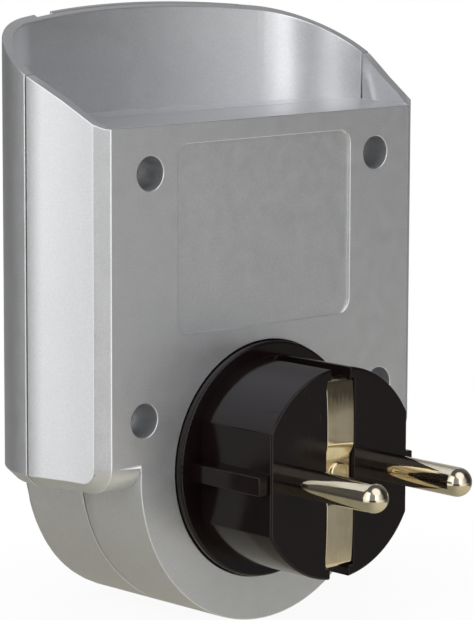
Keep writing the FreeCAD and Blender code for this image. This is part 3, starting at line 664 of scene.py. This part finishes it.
def floor_material():
    """Matt white that takes a shadow, and plain white light further out."""
    material = bpy.data.materials.new("studio_floor")
    material.use_nodes = True
    tree = material.node_tree
    shader = tree.nodes["Principled BSDF"]
    shader.inputs["Roughness"].default_value = 0.9
    shader.inputs["Specular IOR Level"].default_value = 0.1
    place = place_of(tree)
    weave = noise(tree, place, floor_weave)
    feed(tree, mixed(tree, weave, srgb(240, 240, 240), srgb(248, 248, 248)), shader.inputs["Base Color"])
    away = vector_sums(tree, "DISTANCE", place, (0, 0, 0))
    far = spread(tree, away, shadow_radius, white_radius, shadow_white, 1.0)
    glow = tree.nodes.new("ShaderNodeEmission")
    glow.inputs["Strength"].default_value = 1.0
    blend = tree.nodes.new("ShaderNodeMixShader")
    feed(tree, sums(tree, "MULTIPLY", far, seen_directly(tree)), blend.inputs[0])
    tree.links.new(shader.outputs[0], blend.inputs[1])
    tree.links.new(glow.outputs[0], blend.inputs[2])
    tree.links.new(blend.outputs[0], tree.nodes["Material Output"].inputs["Surface"])
    material.cycles.emission_sampling = "NONE"
    return material


def floor_disc():
    """A round floor just below the object."""
    disc = bmesh.new()
    bmesh.ops.create_circle(disc, cap_ends=True, segments=96, radius=floor_radius)
    mesh = bpy.data.meshes.new("floor")
    disc.to_mesh(mesh)
    disc.free()
    floor = added("floor", mesh)
    floor.location = (0, middle.y, lowest.z - floor_gap)
    floor.visible_glossy = False
    return floor


floor = floor_disc()
wears(floor, floor_material())


# Light tent
# A closed tent of lit cloth round the object, seen only in its reflections: it gives the paint, the black
# plastic and the metal the bands of a studio, and lights nothing itself. The camera stands inside it.

tent_radius = 4.0
tent_full = 2.4

# Levels round the wall, above and below the horizon, set against the photograph. Each is an azimuth,
# in degrees from +X towards +Y, and a level. The two bright panels stand to the camera's left and right.
high_levels = ((-180, 0.15), (-160, 0.15), (-138, 0.48), (-118, 0.2), (-95, 0.07), (-82, 0.02),
               (-60, 0.2), (-50, 0.09), (-42, 0.09), (-32, 1.2), (-20, 1.25), (-5, 2.1), (8, 1.9),
               (20, 0.28), (40, 0.33), (56, 0.42), (61, 2.5), (80, 1.5), (90, 0.9), (108, 0.55),
               (120, 0.22), (132, 0.04), (170, 0.05))
low_levels = ((-180, 0.2), (-160, 0.2), (-138, 0.34), (-98, 0.22), (-82, 0.03), (-60, 0.15),
              (-42, 0.06), (-32, 1.1), (3, 1.1), (18, 0.1), (50, 0.06), (60, 0.2), (68, 1.1),
              (80, 1.25), (100, 0.95), (115, 0.8), (131, 0.31), (150, 0.08), (170, 0.1))


def heights(low, high):
    """Two elevations in degrees as heights in the tent, in shares of its radius."""
    return (math.sin(math.radians(low)), math.sin(math.radians(high)))


# Where one part of the tent fades into the next. The roof lamp and the bright side of the ground are each
# aimed at an azimuth and an elevation, and fade between two cosines of the angle from there.
horizon = heights(-8, -6)
wall_top = heights(40, 54)
wall_foot = heights(-26, -17)
roof_level = 0.11
roof_tint = (0.98, 0.99, 1.06)
roof_lamp = (80, 58)
roof_lamp_edges = (math.cos(math.radians(36)), math.cos(math.radians(20)))
roof_lamp_level = 1.3
ground_levels = (0.29, 0.62)
ground_tint = (1.05, 1.0, 0.82)
ground_bright_side = (125, 0)
ground_turn = (-0.6, 0.75)


def direction(azimuth, elevation):
    """A unit vector from two angles in degrees."""
    a = math.radians(azimuth)
    e = math.radians(elevation)
    return Vector((math.cos(a) * math.cos(e), math.sin(a) * math.cos(e), math.sin(e)))


def wall_band(tree, share, levels):
    """Levels round the wall as a grey, from the share of the way round."""
    ramp = tree.nodes.new("ShaderNodeValToRGB")
    feed(tree, share, ramp.inputs[0])
    ramp.color_ramp.interpolation = "EASE"
    stops = ramp.color_ramp.elements
    while len(stops) > 1:
        stops.remove(stops[-1])
    for azimuth, level in levels:
        stop = stops[0] if azimuth == levels[0][0] else stops.new((azimuth + 180) / 360)
        stop.position = (azimuth + 180) / 360
        stop.color = (level / tent_full,) * 3 + (1.0,)
    last = stops.new(1.0)
    last.color = stops[0].color
    return ramp.outputs["Color"]


def towards(tree, outward, aim, edges):
    """0 to 1 as a point of the tent lies nearer to the way aimed at, between two cosines."""
    return spread(tree, vector_sums(tree, "DOT_PRODUCT", outward, direction(*aim)), *edges)


def tinted(level, tint):
    """A level of the cloth in a slight tint, as a share of the tent's full strength."""
    return tuple(level / tent_full * share for share in tint) + (1.0,)


def tent_material():
    """Wall, ground and roof of the tent as one glow: the ground is a warm table, and a lamp hangs in the
    dark roof."""
    material = bpy.data.materials.new("light_tent")
    material.use_nodes = True
    tree = material.node_tree
    tree.nodes.remove(tree.nodes["Principled BSDF"])
    outward = vector_sums(tree, "DIVIDE", place_of(tree), (tent_radius,) * 3)
    axes = axes_of(tree, outward)
    height = axes["Z"]
    angle = sums(tree, "ARCTAN2", axes["Y"], axes["X"])
    share = sums(tree, "MULTIPLY_ADD", angle, 1 / math.tau, 0.5)
    cloth = mixed(tree, spread(tree, height, *horizon), wall_band(tree, share, low_levels),
                  wall_band(tree, share, high_levels))
    back, front = (tinted(level, ground_tint) for level in ground_levels)
    ground = mixed(tree, towards(tree, outward, ground_bright_side, ground_turn), back, front)
    cloth = mixed(tree, spread(tree, height, *wall_foot), ground, cloth)
    cloth = mixed(tree, spread(tree, height, *wall_top), cloth, tinted(roof_level, roof_tint))
    near = towards(tree, outward, roof_lamp, roof_lamp_edges)
    cloth = mixed(tree, near, cloth, tinted(roof_lamp_level, roof_tint))
    glow = tree.nodes.new("ShaderNodeEmission")
    glow.inputs["Strength"].default_value = tent_full
    tree.links.new(cloth, glow.inputs["Color"])
    tree.links.new(glow.outputs[0], tree.nodes["Material Output"].inputs["Surface"])
    material.cycles.emission_sampling = "NONE"
    return material


def tent_ball():
    """A ball about the object that only gloss can see."""
    ball = bmesh.new()
    bmesh.ops.create_uvsphere(ball, u_segments=96, v_segments=48, radius=tent_radius)
    mesh = bpy.data.meshes.new("light_tent")
    ball.to_mesh(mesh)
    ball.free()
    tent = added("light_tent", mesh)
    tent.location = middle
    tent.visible_camera = False
    tent.visible_diffuse = False
    tent.visible_shadow = False
    tent.visible_transmission = False
    return tent


tent = tent_ball()
wears(tent, tent_material())


# Lamps and sky
# A large soft lamp to the left of the camera, a weaker one to the right and one overhead. The sky is white
# where it is seen or mirrored, and a quiet grey where it only lights.

sky_level = 0.35


def soft_lamp(name, azimuth, elevation, distance, width, watts):
    """A square soft lamp that faces the middle of the object."""
    light = bpy.data.lights.new(name, "AREA")
    light.size = width
    light.energy = watts
    holder = added(name, light)
    outward = direction(azimuth, elevation)
    holder.location = middle + outward * distance
    holder.rotation_mode = "QUATERNION"
    holder.rotation_quaternion = (-outward).to_track_quat("-Z", "Y")
    holder.visible_glossy = False


soft_lamp("key_lamp", azimuth=5, elevation=28, distance=0.9, width=0.6, watts=5)
soft_lamp("fill_lamp", azimuth=100, elevation=20, distance=1.0, width=0.6, watts=4)
soft_lamp("top_lamp", azimuth=60, elevation=80, distance=0.9, width=0.8, watts=4)

world = bpy.data.worlds.new("studio_sky")
bpy.context.scene.world = world
world.use_nodes = True
sky = world.node_tree
backdrop = sky.nodes["Background"]
backdrop.inputs["Color"].default_value = (1.0, 1.0, 1.0, 1.0)
sky_strength = sums(sky, "MULTIPLY_ADD", seen_directly(sky), 1.0 - sky_level, sky_level)
sky.links.new(sky_strength, backdrop.inputs["Strength"])


# Camera
# A long lens about half a metre away, to the left of the plug and a little above it, as in the photograph.
# Its place, aim and roll come from fitting a pinhole camera to points of the photograph.

camera_place = Vector((0.366889, 0.390600, 0.106708))
camera_target = Vector((0.007205, 0.000720, 0.025709))
camera_roll = 0.205
camera_lens = 190.17
film_side = 36.0

camera_data = bpy.data.cameras.new("camera")
camera_data.sensor_width = film_side
camera_data.lens = camera_lens
camera_data.clip_start = 10 * MM
camera_data.clip_end = 20.0
camera = added("camera", camera_data)
camera.location = camera_place
camera.rotation_mode = "QUATERNION"
aim = (camera_target - camera_place).to_track_quat("-Z", "Y")
camera.rotation_quaternion = aim @ Quaternion((0, 0, 1), math.radians(camera_roll))
bpy.context.scene.camera = camera
bpy.context.scene.view_settings.view_transform = "Standard"
